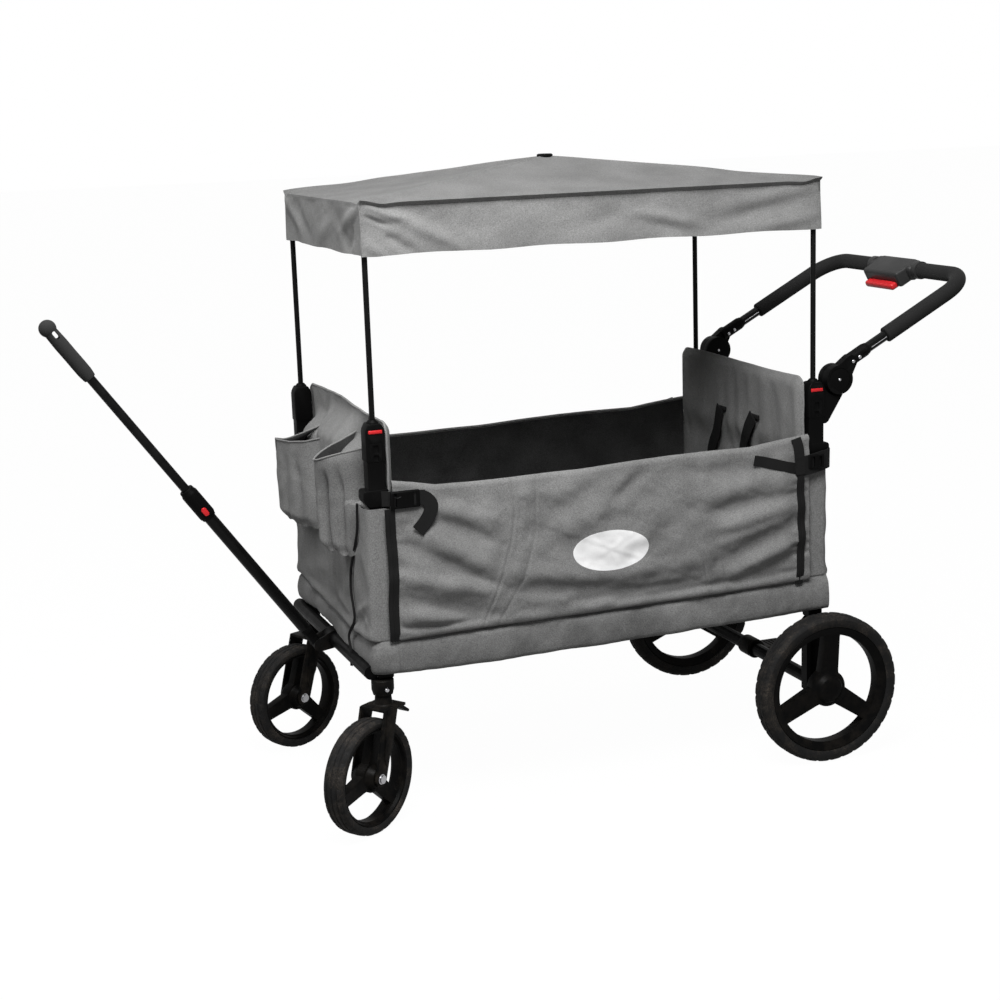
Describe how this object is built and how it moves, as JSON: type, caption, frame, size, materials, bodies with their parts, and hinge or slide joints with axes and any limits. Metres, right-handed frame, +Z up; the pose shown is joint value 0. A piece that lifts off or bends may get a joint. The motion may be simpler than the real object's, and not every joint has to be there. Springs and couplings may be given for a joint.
{
  "type": "folding wagon",
  "caption": "Folding wagon with a fabric basket, a peaked canopy on poles, a push handle, a telescopic pull handle and swivelling front wheels.",
  "frame": {"origin": "on the ground, under the middle of the overall length and width", "axes": "+X to the push handle, +Y to the far side in the picture, +Z up"},
  "size_m": [1.685, 0.6534, 1.1253],
  "materials": {
    "frame_paint": "satin black powder coat",
    "tube_paint": "black anodised",
    "black_plastic": "moulded, fine matt texture",
    "red_plastic": "smooth",
    "foam": "soft matt foam",
    "grey_fabric": "melange grey weave",
    "black_fabric": "black lining weave",
    "floor_board": "board on painted rails",
    "tyre": "matt, a little dusty",
    "steel": "bright"
  },
  "bodies": {
    "rear_frame": {"rear_frame": "frame_paint", "rear_axle_carrier": "frame_paint", "rear_axle": "steel", "rear_pole_socket_near": "black_plastic", "rear_pole_socket_far": "black_plastic", "rear_panel": "grey_fabric", "side_panel_near": "grey_fabric", "side_panel_far": "grey_fabric"},
    "front_frame": {"front_frame": "frame_paint", "front_pole_socket_near": "black_plastic", "front_pole_socket_far": "black_plastic", "caster_housing_near": "black_plastic", "caster_housing_far": "black_plastic", "pull_bracket": "black_plastic", "front_panel": "grey_fabric", "bottle_pocket_near": "grey_fabric", "bottle_pocket_far": "grey_fabric"},
    "rear_floor": {"rear_floor_board": "floor_board", "rear_floor_mat": "black_fabric"},
    "front_floor": {"front_floor_board": "floor_board", "front_floor_mat": "black_fabric"},
    "canopy": {"canopy_cloth": "grey_fabric", "canopy_ribs": "tube_paint", "rear_pole_near": "tube_paint", "rear_pole_far": "tube_paint"},
    "front_poles": {"front_pole_near": "tube_paint", "front_pole_far": "tube_paint"},
    "rear_button_near": {"rear_pole_button_near": "red_plastic"},
    "front_button_near": {"front_pole_button_near": "red_plastic"},
    "rear_wheel_near": {"rear_wheel_near_tyre": "tyre", "rear_wheel_near_rim": "black_plastic"},
    "front_wheel_near": {"front_wheel_near_tyre": "tyre", "front_wheel_near_rim": "black_plastic"},
    "caster_near": {"caster_fork_near": "black_plastic", "front_wheel_bolt_near": "steel"},
    "swivel_lock_near": {"swivel_lock_lever_near": "black_plastic"},
    "rear_button_far": {"rear_pole_button_far": "red_plastic"},
    "front_button_far": {"front_pole_button_far": "red_plastic"},
    "rear_wheel_far": {"rear_wheel_far_tyre": "tyre", "rear_wheel_far_rim": "black_plastic"},
    "front_wheel_far": {"front_wheel_far_tyre": "tyre", "front_wheel_far_rim": "black_plastic"},
    "caster_far": {"caster_fork_far": "black_plastic", "front_wheel_bolt_far": "steel"},
    "swivel_lock_far": {"swivel_lock_lever_far": "black_plastic"},
    "brake": {"brake_pedal": "black_plastic"},
    "push_handle": {"push_connector_near": "black_plastic", "push_connector_far": "black_plastic", "grip_housing": "black_plastic", "push_tube": "tube_paint", "handle_foam_near": "foam", "handle_foam_far": "foam"},
    "trigger": {"fold_trigger": "red_plastic"},
    "pull_handle": {"pull_joint": "black_plastic", "pull_collar": "black_plastic", "pull_lower_tube": "tube_paint"},
    "pull_button": {"collar_button": "red_plastic"},
    "pull_slide": {"pull_upper_tube": "tube_paint", "pull_grip": "foam"}
  },
  "joints": [
    {"name": "fold", "type": "hinge", "parent": "rear_frame", "child": "rear_floor", "pos_m": [0.45261, 0.01348, 0.285], "axis": [0, 1, 0], "range_deg": [0, 75], "deforming": ["side_panel_near", "side_panel_far", "canopy_cloth", "canopy_ribs"]},
    {"name": "fold_middle", "type": "hinge", "parent": "rear_floor", "child": "front_floor", "pos_m": [0.08061, 0.01348, 0.2705], "axis": [0, 1, 0], "range_deg": [-150, 0]},
    {"name": "fold_front", "type": "hinge", "parent": "front_floor", "child": "front_frame", "pos_m": [-0.29139, 0.01348, 0.285], "axis": [0, 1, 0], "range_deg": [0, 75]},
    {"name": "caster_swivel_near", "type": "hinge", "parent": "front_frame", "child": "caster_near", "pos_m": [-0.34189, -0.22923, 0.235], "axis": [0, 0, 1], "continuous": true},
    {"name": "front_wheel_near", "type": "hinge", "parent": "caster_near", "child": "front_wheel_near", "pos_m": [-0.38219, -0.25709, 0.1006], "axis": [-0.5688, 0.8225, 0], "continuous": true},
    {"name": "swivel_lock_near", "type": "hinge", "parent": "caster_near", "child": "swivel_lock_near", "pos_m": [-0.31598, -0.21131, 0.2065], "axis": [-0.5688, 0.8225, 0], "range_deg": [0, 25]},
    {"name": "caster_swivel_far", "type": "hinge", "parent": "front_frame", "child": "caster_far", "pos_m": [-0.34189, 0.25617, 0.235], "axis": [0, 0, 1], "continuous": true},
    {"name": "front_wheel_far", "type": "hinge", "parent": "caster_far", "child": "front_wheel_far", "pos_m": [-0.3862, 0.23526, 0.1006], "axis": [-0.4268, 0.9043, 0], "continuous": true},
    {"name": "swivel_lock_far", "type": "hinge", "parent": "caster_far", "child": "swivel_lock_far", "pos_m": [-0.3134, 0.26962, 0.2065], "axis": [-0.4268, 0.9043, 0], "range_deg": [0, 25]},
    {"name": "rear_wheel_near", "type": "hinge", "parent": "rear_frame", "child": "rear_wheel_near", "pos_m": [0.49561, -0.27792, 0.14], "axis": [0, 1, 0], "continuous": true},
    {"name": "rear_wheel_far", "type": "hinge", "parent": "rear_frame", "child": "rear_wheel_far", "pos_m": [0.49561, 0.30488, 0.14], "axis": [0, 1, 0], "continuous": true},
    {"name": "brake_pedal", "type": "hinge", "parent": "rear_frame", "child": "brake", "pos_m": [0.49561, 0.01348, 0.14], "axis": [0, 1, 0], "range_deg": [0, 18]},
    {"name": "push_handle", "type": "hinge", "parent": "rear_frame", "child": "push_handle", "pos_m": [0.54311, 0.01348, 0.706], "axis": [0, -1, 0], "range_deg": [-100, 45]},
    {"name": "fold_trigger", "type": "slide", "parent": "push_handle", "child": "trigger", "axis": [0.8829, 0, 0.4695], "range_m": [0, 0.005], "stiffness_N_per_m": 500, "springref_m": -0.002},
    {"name": "pull_handle", "type": "hinge", "parent": "front_frame", "child": "pull_handle", "pos_m": [-0.39059, 0.01348, 0.2655], "axis": [0, 1, 0], "range_deg": [-68, 32]},
    {"name": "pull_slide", "type": "slide", "parent": "pull_handle", "child": "pull_slide", "axis": [-0.5807, 0, 0.8141], "range_m": [-0.22, 0]},
    {"name": "collar_button", "type": "slide", "parent": "pull_handle", "child": "pull_button", "axis": [0, 1, 0], "range_m": [0, 0.0018], "stiffness_N_per_m": 300, "springref_m": -0.001},
    {"name": "canopy_lift", "type": "slide", "parent": "rear_frame", "child": "canopy", "axis": [0, 0, 1], "range_m": [0, 0.11]},
    {"name": "front_poles_lift", "type": "slide", "parent": "front_frame", "child": "front_poles", "axis": [0, 0, 1], "range_m": [0, 0.11]},
    {"name": "rear_pole_button_near", "type": "slide", "parent": "rear_frame", "child": "rear_button_near", "axis": [0, 1, 0], "range_m": [0, 0.0018], "stiffness_N_per_m": 300, "springref_m": -0.001},
    {"name": "rear_pole_button_far", "type": "slide", "parent": "rear_frame", "child": "rear_button_far", "axis": [0, -1, 0], "range_m": [0, 0.0018], "stiffness_N_per_m": 300, "springref_m": -0.001},
    {"name": "front_pole_button_near", "type": "slide", "parent": "front_frame", "child": "front_button_near", "axis": [0, 1, 0], "range_m": [0, 0.0018], "stiffness_N_per_m": 300, "springref_m": -0.001},
    {"name": "front_pole_button_far", "type": "slide", "parent": "front_frame", "child": "front_button_far", "axis": [0, -1, 0], "range_m": [0, 0.0018], "stiffness_N_per_m": 300, "springref_m": -0.001}
  ],
  "couplings": [
    {"joint": "fold_middle", "follows": "fold", "ratio": -2},
    {"joint": "fold_front", "follows": "fold", "ratio": 1},
    {"joint": "front_poles_lift", "follows": "canopy_lift", "ratio": 1}
  ]
}
